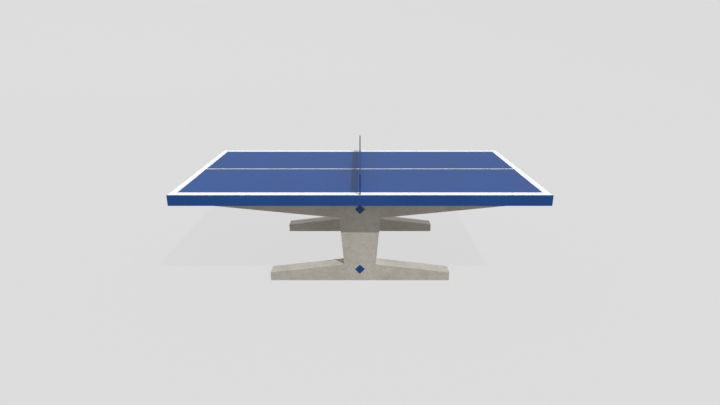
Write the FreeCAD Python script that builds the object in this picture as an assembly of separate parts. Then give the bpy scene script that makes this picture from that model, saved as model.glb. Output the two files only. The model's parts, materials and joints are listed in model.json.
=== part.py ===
"""Permanent outdoor ping pong table: a blue concrete top on two concrete leg frames.

Millimetres. +Z is up, the origin is on the ground at the middle of the table, X runs
along the table and Y runs along the net. Negative Y is the front.
"""

import FreeCAD
import Part
import math
import os

V = FreeCAD.Vector
UP = V(0, 0, 1)
ALONG_X = V(1, 0, 0)
ALONG_Y = V(0, 1, 0)

# Table top
TOP_LENGTH = 2740.0
TOP_WIDTH = 1525.0
TOP_HEIGHT = 760.0
TOP_THICKNESS = 80.0
COATING = 2.0
CORNER_RADIUS = 3.0
BORDER_END = 55.0
BORDER_SIDE = 68.0
CENTRE_LINE_WIDTH = 15.0
EDGE_ROUND = 1.2

# Steel mesh inside the top
LONG_BAR_RADIUS = 5.0
CROSS_BAR_RADIUS = 4.0
BAR_COVER = 25.0
LONG_BAR_SPACING = 260.0
LONG_BAR_COUNT = 6
CROSS_BAR_SPACING = 250.0
CROSS_BAR_COUNT = 10
MESH_GAP = 1.0

# Net
NET_HEIGHT = 152.5
NET_THICKNESS = 10.0
NET_LENGTH = 1505.0
NET_GAP = 47.0
NET_LEG_DEPTH = 16.0
NET_CORNER_RADIUS = 4.0
NET_STUD_RADIUS = 5.0
NET_STUD_LENGTH = 60.0
NET_MORTAR_RADIUS = 7.0
NET_MORTAR_FLOOR = 3.0
NET_SLEEVE_RADIUS = 9.0
NET_SLEEVE_FLOOR = 3.0

# Leg frames: foot, column and wings cast in one piece
FRAME_CENTRE_Y = 528.5
FRAME_THICKNESS = 110.0
FRAME_CHAMFER = 3.0
FOOT_HALF_WIDTH = 703.0
FOOT_END_HEIGHT = 72.0
FOOT_MIDDLE_HEIGHT = 142.0
COLUMN_FOOT_HALF_WIDTH = 124.0
COLUMN_TOP_HALF_WIDTH = 156.0
WING_ROOT_HEIGHT = 523.0
WING_SLOPE = 0.1025
WING_HALF_WIDTH = 1200.0

# Rubber pads and bolts between the wings and the top
PAD_THICKNESS = 5.0
PAD_LENGTH = 120.0
PAD_WIDTH = 80.0
PAD_HOLE_RADIUS = 10.0
BOLT_RADIUS = 8.0
BOLT_CLEARANCE_RADIUS = 9.0
BOLT_HEAD_FLATS = 24.0
BOLT_HEAD_HEIGHT = 10.0
WASHER_RADIUS = 17.0
WASHER_THICKNESS = 3.0
POCKET_RADIUS = 20.0
SOCKET_RADIUS = 12.5
SOCKET_BORE = 8.1
SOCKET_LENGTH = 50.0
SOCKET_THREAD_LENGTH = 44.0
BOLT_ENGAGEMENT = 38.0
INNER_BOLT_X = 300.0
INNER_BOLT_SEAT = 562.0
OUTER_BOLT_X = 1050.0
OUTER_BOLT_SEAT = 640.0

# Ties between the two frames, with square caps set on their corners
LOWER_TIE_HEIGHT = 99.0
UPPER_TIE_HEIGHT = 594.0
TIE_TUBE_SIDE = 50.0
TIE_TUBE_WALL = 4.0
TIE_PLATE_SIDE = 84.0
TIE_PLATE_THICKNESS = 6.0
TIE_ROD_RADIUS = 8.0
TIE_POCKET_DEPTH = 24.0
TIE_NUT_FLATS = 24.0
TIE_NUT_HEIGHT = 13.0
TIE_ROD_SPARE = 4.0
CAP_SIDE = 53.0
CAP_THICKNESS = 6.0
CAP_EDGE = 1.5
CAP_SKIRT_RADIUS = 19.7
CAP_SKIRT_WALL = 2.2
CAP_SKIRT_LENGTH = 16.0

# Bars inside each leg frame
FRAME_BAR_RADIUS = 6.0
FRAME_BAR_OFFSET_Y = 35.0
COLUMN_BAR_X = 85.0
COLUMN_BAR_BOTTOM = 44.0
COLUMN_BAR_TOP = 638.0
FOOT_BAR_HEIGHT = 30.0
FOOT_BAR_HALF_LENGTH = 675.0
WING_BAR_HEIGHT = 650.0
WING_BAR_HALF_LENGTH = 1170.0

# Heights and faces that follow from the dimensions above
COATING_BOTTOM = TOP_HEIGHT - COATING
TOP_UNDERSIDE = TOP_HEIGHT - TOP_THICKNESS
FRAME_TOP = TOP_UNDERSIDE - PAD_THICKNESS
FRAME_OUTER_Y = FRAME_CENTRE_Y + FRAME_THICKNESS / 2
FRAME_INNER_Y = FRAME_CENTRE_Y - FRAME_THICKNESS / 2
NET_LEG_Y = NET_LENGTH / 2 - NET_LEG_DEPTH / 2
NET_STUD_BOTTOM = TOP_HEIGHT - NET_STUD_LENGTH
NET_MORTAR_BOTTOM = NET_STUD_BOTTOM - NET_MORTAR_FLOOR
NET_SLEEVE_BOTTOM = NET_MORTAR_BOTTOM - NET_SLEEVE_FLOOR
LONG_BAR_Z = TOP_UNDERSIDE + BAR_COVER
CROSS_BAR_Z = LONG_BAR_Z + LONG_BAR_RADIUS + MESH_GAP + CROSS_BAR_RADIUS
TIE_SEAT_Y = FRAME_OUTER_Y - TIE_POCKET_DEPTH
TIE_HEIGHTS = (LOWER_TIE_HEIGHT, UPPER_TIE_HEIGHT)


def box(length, width, height, centre_x, centre_y, bottom):
    """Upright block centred on (centre_x, centre_y)."""
    corner = V(centre_x - length / 2, centre_y - width / 2, bottom)
    return Part.makeBox(length, width, height, corner)


def rounded_block(length, width, height, radius, bottom):
    """Block centred on the origin, with rounded upright edges."""
    block = box(length, width, height, 0, 0, bottom)
    upright = [e for e in block.Edges if abs(e.tangentAt(e.FirstParameter).z) > 0.9]
    return block.makeFillet(radius, upright)


def spaced(count, spacing):
    """Places for count things, spacing apart and centred on zero."""
    first = -spacing * (count - 1) / 2
    return [first + spacing * i for i in range(count)]


def hexagon(flats, height, centre, direction):
    """Hexagonal prism, flats apart across its sides."""
    corner = flats / math.sqrt(3)
    points = []
    for i in range(7):
        angle = math.radians(60 * i)
        points.append(V(corner * math.cos(angle), corner * math.sin(angle), 0))
    prism = Part.Face(Part.makePolygon(points)).extrude(V(0, 0, height))
    prism.Placement = FreeCAD.Placement(centre, FreeCAD.Rotation(UP, direction))
    return prism


def ring(outer, inner, height, centre, direction):
    """Washer or tube with its first face at centre."""
    body = Part.makeCylinder(outer, height, centre, direction)
    return body.cut(Part.makeCylinder(inner, height, centre, direction))


def diamond(side, length, z, y_start, direction):
    """Square bar along Y, turned so that it stands on a corner."""
    half = side / math.sqrt(2)
    points = [V(half, 0, z), V(0, 0, z + half), V(-half, 0, z), V(0, 0, z - half)]
    face = Part.Face(Part.makePolygon(points + points[:1]))
    face.translate(V(0, y_start, 0))
    return face.extrude(V(0, direction * length, 0))


def edges_on_plane_y(shape, y):
    """Edges that lie in the plane Y = y."""
    found = []
    for edge in shape.Edges:
        extent = edge.BoundBox
        if abs(extent.YMin - y) < 0.01 and abs(extent.YMax - y) < 0.01:
            found.append(edge)
    return found


def group(shapes):
    """Several separate solids that belong to one kind of piece."""
    return Part.makeCompound(shapes)


def bolt_places():
    """(x, y, seat height) of each bolt between a wing and the top."""
    places = []
    for x, seat in ((INNER_BOLT_X, INNER_BOLT_SEAT), (OUTER_BOLT_X, OUTER_BOLT_SEAT)):
        for sign_x in (-1, 1):
            for sign_y in (-1, 1):
                places.append((sign_x * x, sign_y * FRAME_CENTRE_Y, seat))
    return places


def net_leg_places():
    return (-NET_LEG_Y, NET_LEG_Y)


# Table top

def long_bars():
    """Bars of the mesh that run along the table."""
    length = TOP_LENGTH - 2 * BAR_COVER
    bars = []
    for y in spaced(LONG_BAR_COUNT, LONG_BAR_SPACING):
        start = V(-length / 2, y, LONG_BAR_Z)
        bars.append(Part.makeCylinder(LONG_BAR_RADIUS, length, start, ALONG_X))
    return bars


def cross_bars():
    """Bars of the mesh that run across the table, just above the long ones."""
    length = TOP_WIDTH - 2 * BAR_COVER
    bars = []
    for x in spaced(CROSS_BAR_COUNT, CROSS_BAR_SPACING):
        start = V(x, -length / 2, CROSS_BAR_Z)
        bars.append(Part.makeCylinder(CROSS_BAR_RADIUS, length, start, ALONG_Y))
    return bars


def inner_block(height, bottom):
    """Block that lies inside the edge coating."""
    length = TOP_LENGTH - 2 * COATING
    width = TOP_WIDTH - 2 * COATING
    return rounded_block(length, width, height, CORNER_RADIUS - COATING, bottom)


def slab_core():
    """Grey concrete of the top, inside its coloured coatings."""
    slab = inner_block(TOP_THICKNESS - COATING, TOP_UNDERSIDE)
    cutters = long_bars() + cross_bars()
    for x, y, _ in bolt_places():
        cutters.append(Part.makeCylinder(SOCKET_RADIUS, SOCKET_LENGTH, V(x, y, TOP_UNDERSIDE)))
    cutters += net_pins(NET_SLEEVE_RADIUS, NET_SLEEVE_BOTTOM, TOP_HEIGHT)
    return slab.cut(cutters)


def edge_coating():
    """Blue coating on the four edges of the top, over their full height."""
    outer = rounded_block(TOP_LENGTH, TOP_WIDTH, TOP_THICKNESS, CORNER_RADIUS, TOP_UNDERSIDE)
    rims = []
    for edge in outer.Edges:
        if edge.BoundBox.ZMax - edge.BoundBox.ZMin < 0.01:
            rims.append(edge)
    return outer.makeFillet(EDGE_ROUND, rims).cut(inner_block(TOP_THICKNESS, TOP_UNDERSIDE))


def border_line():
    """White line round the playing surface, up to the edge coating."""
    field_length = TOP_LENGTH - 2 * BORDER_END
    field_width = TOP_WIDTH - 2 * BORDER_SIDE
    field = box(field_length, field_width, COATING, 0, 0, COATING_BOTTOM)
    holes = net_pins(NET_STUD_RADIUS, NET_STUD_BOTTOM, TOP_HEIGHT)
    return inner_block(COATING, COATING_BOTTOM).cut([field] + holes)


def centre_line():
    """White line along the middle of the table, between the end borders."""
    length = TOP_LENGTH - 2 * BORDER_END
    return box(length, CENTRE_LINE_WIDTH, COATING, 0, 0, COATING_BOTTOM)


def playing_surface():
    """Blue coating: one strip on each side of the centre line."""
    length = TOP_LENGTH - 2 * BORDER_END
    width = (TOP_WIDTH / 2 - BORDER_SIDE) - CENTRE_LINE_WIDTH / 2
    middle = CENTRE_LINE_WIDTH / 2 + width / 2
    strips = [box(length, width, COATING, 0, s * middle, COATING_BOTTOM) for s in (-1, 1)]
    return group(strips)


def slab_sockets():
    """Threaded sockets cast into the underside of the top, closed at their upper end."""
    sockets = []
    for x, y, _ in bolt_places():
        base = V(x, y, TOP_UNDERSIDE)
        socket = Part.makeCylinder(SOCKET_RADIUS, SOCKET_LENGTH, base)
        sockets.append(socket.cut(Part.makeCylinder(SOCKET_BORE, SOCKET_THREAD_LENGTH, base)))
    return group(sockets)


# Net

def net_plate():
    """Steel plate that stands clear of the top, with its upper corners rounded."""
    height = NET_HEIGHT - NET_GAP
    plate = box(NET_THICKNESS, NET_LENGTH, height, 0, 0, TOP_HEIGHT + NET_GAP)
    corners = []
    for edge in plate.Edges:
        high = edge.BoundBox.ZMin > TOP_HEIGHT + NET_HEIGHT - 0.01
        if high and edge.BoundBox.YLength < 0.01:
            corners.append(edge)
    return plate.makeFillet(NET_CORNER_RADIUS, corners)


def net_legs():
    """Short flat legs welded under the two ends of the net plate."""
    legs = []
    for y in net_leg_places():
        legs.append(box(NET_THICKNESS, NET_LEG_DEPTH, NET_GAP, 0, y, TOP_HEIGHT))
    return group(legs)


def net_pins(radius, bottom, top):
    """One upright cylinder under each leg of the net."""
    pins = []
    for y in net_leg_places():
        pins.append(Part.makeCylinder(radius, top - bottom, V(0, y, bottom)))
    return pins


def net_studs():
    """Threaded studs welded under the net's legs and set into the top."""
    return group(net_pins(NET_STUD_RADIUS, NET_STUD_BOTTOM, TOP_HEIGHT))


def net_mortar():
    """Anchor mortar that holds each stud in its sleeve."""
    studs = net_pins(NET_STUD_RADIUS, NET_STUD_BOTTOM, TOP_HEIGHT)
    fillings = net_pins(NET_MORTAR_RADIUS, NET_MORTAR_BOTTOM, COATING_BOTTOM)
    return group([filling.cut(stud) for filling, stud in zip(fillings, studs)])


def net_sleeves():
    """Steel sleeves cast into the top for the net's studs, closed at the bottom."""
    fillings = net_pins(NET_MORTAR_RADIUS, NET_MORTAR_BOTTOM, COATING_BOTTOM)
    sleeves = net_pins(NET_SLEEVE_RADIUS, NET_SLEEVE_BOTTOM, COATING_BOTTOM)
    return group([sleeve.cut(filling) for sleeve, filling in zip(sleeves, fillings)])


# Leg frames

def wing_underside(x):
    """Height of the sloping underside of a wing at the distance x from the middle."""
    return WING_ROOT_HEIGHT + WING_SLOPE * (abs(x) - COLUMN_TOP_HALF_WIDTH)


def frame_outline():
    """Right half of the frame's outline, from the ground up."""
    return (
        (FOOT_HALF_WIDTH, 0),
        (FOOT_HALF_WIDTH, FOOT_END_HEIGHT),
        (COLUMN_FOOT_HALF_WIDTH, FOOT_MIDDLE_HEIGHT),
        (COLUMN_TOP_HALF_WIDTH, WING_ROOT_HEIGHT),
        (WING_HALF_WIDTH, wing_underside(WING_HALF_WIDTH)),
        (WING_HALF_WIDTH, FRAME_TOP),
    )


def frame_bars(centre_y):
    """Bars in one frame: along the foot, up the column and along the wings."""
    bars = []
    for y in (centre_y - FRAME_BAR_OFFSET_Y, centre_y + FRAME_BAR_OFFSET_Y):
        foot = V(-FOOT_BAR_HALF_LENGTH, y, FOOT_BAR_HEIGHT)
        wing = V(-WING_BAR_HALF_LENGTH, y, WING_BAR_HEIGHT)
        bars.append(Part.makeCylinder(FRAME_BAR_RADIUS, 2 * FOOT_BAR_HALF_LENGTH, foot, ALONG_X))
        bars.append(Part.makeCylinder(FRAME_BAR_RADIUS, 2 * WING_BAR_HALF_LENGTH, wing, ALONG_X))
        for x in (-COLUMN_BAR_X, COLUMN_BAR_X):
            height = COLUMN_BAR_TOP - COLUMN_BAR_BOTTOM
            base = V(x, y, COLUMN_BAR_BOTTOM)
            bars.append(Part.makeCylinder(FRAME_BAR_RADIUS, height, base))
    return bars


def leg_frame(side):
    """One concrete frame; side is -1 at the front and 1 at the back."""
    centre_y = side * FRAME_CENTRE_Y
    half = frame_outline()
    points = [V(x, 0, z) for x, z in half]
    points += [V(-x, 0, z) for x, z in reversed(half)]
    face = Part.Face(Part.makePolygon(points + points[:1]))
    face.translate(V(0, centre_y - FRAME_THICKNESS / 2, 0))
    frame = face.extrude(V(0, FRAME_THICKNESS, 0))
    rims = []
    for y in (centre_y - FRAME_THICKNESS / 2, centre_y + FRAME_THICKNESS / 2):
        rims += edges_on_plane_y(frame, y)
    frame = frame.makeChamfer(FRAME_CHAMFER, rims)
    cutters = frame_bars(centre_y)
    for x, y, seat in bolt_places():
        if y * side > 0:
            pocket_bottom = wing_underside(x) - POCKET_RADIUS
            base = V(x, y, pocket_bottom)
            cutters.append(Part.makeCylinder(POCKET_RADIUS, seat - pocket_bottom, base))
            cutters.append(Part.makeCylinder(BOLT_CLEARANCE_RADIUS, FRAME_TOP - seat, V(x, y, seat)))
    for z in TIE_HEIGHTS:
        inner = V(0, side * FRAME_INNER_Y, z)
        seat = V(0, side * TIE_SEAT_Y, z)
        outward = V(0, side, 0)
        bore_length = TIE_SEAT_Y - FRAME_INNER_Y
        cutters.append(Part.makeCylinder(BOLT_CLEARANCE_RADIUS, bore_length, inner, outward))
        cutters.append(Part.makeCylinder(POCKET_RADIUS, TIE_POCKET_DEPTH, seat, outward))
    return frame.cut(cutters)


# Pads, bolts and washers between the wings and the top

def bearing_pads():
    """Rubber pads that the top rests on, each with a bolt hole."""
    pads = []
    for x, y, _ in bolt_places():
        pad = box(PAD_LENGTH, PAD_WIDTH, PAD_THICKNESS, x, y, FRAME_TOP)
        hole = Part.makeCylinder(PAD_HOLE_RADIUS, PAD_THICKNESS, V(x, y, FRAME_TOP))
        pads.append(pad.cut(hole))
    return group(pads)


def slab_bolts():
    """Hexagon bolts up through the wings into the sockets of the top."""
    bolts = []
    for x, y, seat in bolt_places():
        under_head = seat - WASHER_THICKNESS
        shank_length = TOP_UNDERSIDE + BOLT_ENGAGEMENT - under_head
        shank = Part.makeCylinder(BOLT_RADIUS, shank_length, V(x, y, under_head))
        head_base = V(x, y, under_head - BOLT_HEAD_HEIGHT)
        bolts.append(shank.fuse(hexagon(BOLT_HEAD_FLATS, BOLT_HEAD_HEIGHT, head_base, UP)))
    return group(bolts)


def slab_bolt_washers():
    washers = []
    for x, y, seat in bolt_places():
        base = V(x, y, seat - WASHER_THICKNESS)
        washers.append(ring(WASHER_RADIUS, BOLT_CLEARANCE_RADIUS, WASHER_THICKNESS, base, UP))
    return group(washers)


# Ties between the frames

def tie_tube(z):
    """Square spacer tube on its corner, between the two end plates."""
    length = 2 * (FRAME_INNER_Y - TIE_PLATE_THICKNESS)
    start = -length / 2
    outer = diamond(TIE_TUBE_SIDE, length, z, start, 1)
    return outer.cut(diamond(TIE_TUBE_SIDE - 2 * TIE_TUBE_WALL, length, z, start, 1))


def tie_end_plates():
    """Plates welded to the tube ends, bearing on the inner faces of the frames."""
    plates = []
    for z in TIE_HEIGHTS:
        for side in (-1, 1):
            face_y = side * (FRAME_INNER_Y - TIE_PLATE_THICKNESS)
            plate = diamond(TIE_PLATE_SIDE, TIE_PLATE_THICKNESS, z, face_y, side)
            centre = V(0, face_y, z)
            outward = V(0, side, 0)
            bore = Part.makeCylinder(BOLT_CLEARANCE_RADIUS, TIE_PLATE_THICKNESS, centre, outward)
            plates.append(plate.cut(bore))
    return group(plates)


def tie_rod(z):
    """Threaded rod through both frames and the spacer tube."""
    reach = TIE_SEAT_Y + WASHER_THICKNESS + TIE_NUT_HEIGHT + TIE_ROD_SPARE
    return Part.makeCylinder(TIE_ROD_RADIUS, 2 * reach, V(0, -reach, z), ALONG_Y)


def tie_washers():
    washers = []
    for z in TIE_HEIGHTS:
        for side in (-1, 1):
            seat = V(0, side * TIE_SEAT_Y, z)
            outward = V(0, side, 0)
            washers.append(
                ring(WASHER_RADIUS, BOLT_CLEARANCE_RADIUS, WASHER_THICKNESS, seat, outward)
            )
    return group(washers)


def tie_nuts():
    nuts = []
    for z in TIE_HEIGHTS:
        for side in (-1, 1):
            base = V(0, side * (TIE_SEAT_Y + WASHER_THICKNESS), z)
            outward = V(0, side, 0)
            nut = hexagon(TIE_NUT_FLATS, TIE_NUT_HEIGHT, base, outward)
            rod = Part.makeCylinder(TIE_ROD_RADIUS, TIE_NUT_HEIGHT, base, outward)
            nuts.append(nut.cut(rod))
    return group(nuts)


def tie_caps(side):
    """Square caps on their corners that close the two nut pockets of one frame."""
    caps = []
    face_y = side * FRAME_OUTER_Y
    for z in TIE_HEIGHTS:
        plate = diamond(CAP_SIDE, CAP_THICKNESS, z, face_y, side)
        rim = edges_on_plane_y(plate, face_y + side * CAP_THICKNESS)
        plate = plate.makeChamfer(CAP_EDGE, rim)
        inward = V(0, -side, 0)
        inner = CAP_SKIRT_RADIUS - CAP_SKIRT_WALL
        skirt = ring(CAP_SKIRT_RADIUS, inner, CAP_SKIRT_LENGTH, V(0, face_y, z), inward)
        caps.append(plate.fuse(skirt))
    return group(caps)


NODES = {
    "slab_core": slab_core,
    "slab_long_bars": lambda: group(long_bars()),
    "slab_cross_bars": lambda: group(cross_bars()),
    "edge_coating": edge_coating,
    "border_line": border_line,
    "centre_line": centre_line,
    "playing_surface": playing_surface,
    "slab_sockets": slab_sockets,
    "net_plate": net_plate,
    "net_legs": net_legs,
    "net_studs": net_studs,
    "net_mortar": net_mortar,
    "net_sleeves": net_sleeves,
    "front_leg_frame": lambda: leg_frame(-1),
    "rear_leg_frame": lambda: leg_frame(1),
    "front_frame_bars": lambda: group(frame_bars(-FRAME_CENTRE_Y)),
    "rear_frame_bars": lambda: group(frame_bars(FRAME_CENTRE_Y)),
    "bearing_pads": bearing_pads,
    "slab_bolts": slab_bolts,
    "slab_bolt_washers": slab_bolt_washers,
    "lower_tie_tube": lambda: tie_tube(LOWER_TIE_HEIGHT),
    "upper_tie_tube": lambda: tie_tube(UPPER_TIE_HEIGHT),
    "tie_end_plates": tie_end_plates,
    "lower_tie_rod": lambda: tie_rod(LOWER_TIE_HEIGHT),
    "upper_tie_rod": lambda: tie_rod(UPPER_TIE_HEIGHT),
    "tie_washers": tie_washers,
    "tie_nuts": tie_nuts,
    "front_tie_caps": lambda: tie_caps(-1),
    "rear_tie_caps": lambda: tie_caps(1),
}


def main():
    os.makedirs("parts", exist_ok=True)
    for name, make in NODES.items():
        shape = make()
        if not shape.isValid():
            raise RuntimeError(name + " is not a valid shape")
        shape.exportStep("parts/" + name + ".step")
        print(name, len(shape.Solids), round(shape.Volume / 1000), "cm3")


main()
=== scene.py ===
import json
import math
from collections import defaultdict

import bmesh
import bpy
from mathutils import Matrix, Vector, noise
from mathutils.geometry import delaunay_2d_cdt


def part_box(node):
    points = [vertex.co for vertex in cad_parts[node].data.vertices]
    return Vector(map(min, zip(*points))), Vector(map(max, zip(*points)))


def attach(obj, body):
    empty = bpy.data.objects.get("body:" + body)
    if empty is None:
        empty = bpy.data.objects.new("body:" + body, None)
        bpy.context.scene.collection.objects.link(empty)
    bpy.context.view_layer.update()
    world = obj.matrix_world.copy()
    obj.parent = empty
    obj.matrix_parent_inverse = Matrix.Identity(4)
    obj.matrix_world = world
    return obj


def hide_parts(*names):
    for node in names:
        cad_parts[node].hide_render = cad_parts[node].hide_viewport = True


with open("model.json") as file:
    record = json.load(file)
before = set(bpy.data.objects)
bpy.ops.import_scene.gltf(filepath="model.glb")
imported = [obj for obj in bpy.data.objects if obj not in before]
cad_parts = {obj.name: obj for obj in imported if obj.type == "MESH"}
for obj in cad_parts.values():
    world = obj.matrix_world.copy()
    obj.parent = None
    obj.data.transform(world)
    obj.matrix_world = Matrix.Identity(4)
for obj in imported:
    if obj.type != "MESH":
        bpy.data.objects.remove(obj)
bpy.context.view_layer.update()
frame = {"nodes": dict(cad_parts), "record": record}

NODES = frame["nodes"]
MM = 0.001
Y_AXIS = Vector((0, 1, 0))
Z_AXIS = Vector((0, 0, 1))

# Camera, at a standing person's eye height, looking along the net
CAMERA_BACK = 4.021
CAMERA_HEIGHT = 1.773
CAMERA_PITCH = 18.13
CAMERA_LENS = 24.14
SENSOR_WIDTH = 36.0

# Light: high sun from the front right, a pale sky, and (direction, strength) of each soft fill
SUN_DIRECTION = Vector((0.44, -0.655, 1.0))
SUN_STRENGTH = 2.12
SUN_ANGLE = 1.2
SKY_FRONT = 0.24
SKY_REAR = 0.62
SKY_COLOUR = (0.985, 0.995, 1.0, 1.0)
FILLS = ((Vector((0, 0, 1)), 0.82), (Vector((0, -1, 0.15)), 0.39))

# Floor that the camera sees, and the paving that only lights the table
FLOOR_RINGS = (0.0, 2.0, 5.0, 8.0)
FLOOR_RADIUS = 12.0
FLOOR_RIM_RADIUS = 22.0
FLOOR_RIM_HEIGHT = 15.0
RIM_ROWS = 24
FLOOR_SEGMENTS = 96
FLOOR_COLOUR = 0.68
FLOOR_GLOW = 0.712
FLOOR_GLOW_SHARE = 0.92
PAVING_RIM_HEIGHT = 9.0
PAVING_DROP = 1.0 * MM
PAVING_COLOUR = 0.06
PAVING_GLOW = 0.20
PAVING_GLOW_COLOUR = (1.0, 0.98, 0.94)

# Cast concrete
ARRIS = 2.0 * MM
OUTER_CORNER = 2.5 * MM
INNER_CORNER = 8.0 * MM
OUTLINE_STEP = 8.0 * MM
FACE_STEP = 22.0 * MM
SIDE_ROWS = 8
SURFACE_WAVE = 0.25 * MM
CHIP_DEPTH = 3.0 * MM

# Holes in the leg frames, from the sizes of the bolts and rods in them
BORE_RADIUS = 9.0 * MM
BORE_PLAY = 1.0 * MM
POCKET_RADIUS = 20.0 * MM
TIE_POCKET_DEPTH = 24.0 * MM
BOLT_POCKET_DEPTH = 100.0 * MM
CUT_SPILL = 25.0 * MM
HOLE_SEGMENTS = 40

# Meshes
MERGE_DISTANCE = 0.003 * MM
SHORTEST_EDGE = 0.001 * MM
RIM_STEPS = 4
WEAR_WIDTH = 3.0 * MM
SHARPEST = 0.15 * MM
ROUND_SEGMENTS = 48
OVERLAP = 0.5 * MM

# Steel, plastic and rubber
PLATE_EDGE = 1.2 * MM
PLATE_CORNER = 4.0 * MM
NET_CORNER = 4.0 * MM
HEX_SEGMENTS = 72
HEX_CROWN = 0.96
HEX_CHAMFER = math.tan(math.radians(30))
WASHER_EDGE = 0.35 * MM
BOLT_POINT = 1.5 * MM
SHANK_SEGMENTS = 32
TUBE_WALL = 4.0 * MM
TUBE_CORNER = 6.0 * MM
TUBE_ROWS = 40
WELD_SIZE = 4.0 * MM
WELD_SINK = 0.6 * MM
WELD_STEPS = 6
WELD_RIPPLE_STEP = 1.1 * MM
BEAD_RINGS = 28
THINNEST_BEAD = 0.01 * MM
CAP_CORNER = 1.5 * MM
CAP_EDGE = 1.2 * MM
CAP_CROWN = 0.5 * MM
CAP_SKIRT_LENGTH = 16.0 * MM
CAP_SKIRT_OUTER = 19.7 * MM
CAP_SKIRT_INNER = 17.5 * MM
SKIRT_LEAD = 0.8 * MM
SKIRT_LEAD_LENGTH = 1.0 * MM
CROWN_RINGS = 8
CROWN_REACH = 0.92
PAD_CORNER = 3.0 * MM
PAD_BULGE = 0.7 * MM
PAD_ROWS = 8
PAD_HOLE_RADIUS = 10.0 * MM


# Materials

def add(tree, kind, values=None, **settings):
    """New shader node. A value that is a socket is linked, and any other is set."""
    made = tree.nodes.new(kind)
    for key, value in settings.items():
        setattr(made, key, value)
    for key, value in (values or {}).items():
        if isinstance(value, bpy.types.NodeSocket):
            tree.links.new(value, made.inputs[key])
        else:
            made.inputs[key].default_value = value
    return made


def start_material(name):
    """Empty material with a Principled shader: (node tree, shader, position in metres)."""
    material = bpy.data.materials.new(name)
    material.use_nodes = True
    tree = material.node_tree
    shader = tree.nodes["Principled BSDF"]
    position = add(tree, "ShaderNodeTexCoord").outputs["Object"]
    return material, tree, shader, position


def stretched(tree, position, scale):
    """The position scaled by a different amount along each axis."""
    return add(tree, "ShaderNodeMapping", {"Vector": position, "Scale": scale}).outputs[0]


def clouds(tree, position, scale, detail=4.0, roughness=0.5):
    values = {"Vector": position, "Scale": scale, "Detail": detail, "Roughness": roughness}
    return add(tree, "ShaderNodeTexNoise", values).outputs[0]


def spread(tree, value, low, high, to_low=0.0, to_high=1.0):
    """Maps low..high to to_low..to_high, held at both ends."""
    values = {0: value, 1: low, 2: high, 3: to_low, 4: to_high}
    return add(tree, "ShaderNodeMapRange", values).outputs[0]


def maths(tree, operation, a, b):
    return add(tree, "ShaderNodeMath", {0: a, 1: b}, operation=operation).outputs[0]


def blend_colours(tree, share, a, b):
    made = add(tree, "ShaderNodeMix", {0: share}, data_type="RGBA")
    for index, colour in ((6, a), (7, b)):
        if isinstance(colour, bpy.types.NodeSocket):
            tree.links.new(colour, made.inputs[index])
        else:
            made.inputs[index].default_value = (*colour, 1.0)
    return made.outputs[2]


def raise_surface(tree, shader, layers):
    """Adds (height, depth in metres, strength) layers to the shader's normal."""
    normal = None
    for height, depth, strength in layers:
        values = {"Height": height, "Distance": depth, "Strength": strength}
        if normal is not None:
            values["Normal"] = normal
        normal = add(tree, "ShaderNodeBump", values).outputs[0]
    tree.links.new(normal, shader.inputs["Normal"])


def set_shader(tree, shader, **values):
    """Sets or links the shader's inputs, named with underscores for spaces."""
    for key, value in values.items():
        socket = shader.inputs[key.replace("_", " ")]
        if isinstance(value, bpy.types.NodeSocket):
            tree.links.new(value, socket)
        elif isinstance(value, tuple):
            socket.default_value = (*value, 1.0)
        else:
            socket.default_value = value


def wear_of(tree):
    """The wear painted on a piece's vertices: 1 on its edges, 0 on its faces."""
    return add(tree, "ShaderNodeAttribute", attribute_name="wear").outputs["Fac"]


def pores(tree, position, scale, size, share):
    """Mask of small round air holes: about share of the cells hold one."""
    cells = add(tree, "ShaderNodeTexVoronoi", {"Vector": position, "Scale": scale})
    hole = spread(tree, cells.outputs["Distance"], size * 0.6, size, 1.0, 0.0)
    chosen = add(tree, "ShaderNodeSeparateColor", {0: cells.outputs["Color"]}).outputs[0]
    return maths(tree, "MULTIPLY", hole, spread(tree, chosen, 1 - share, 1.02 - share))


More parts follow.
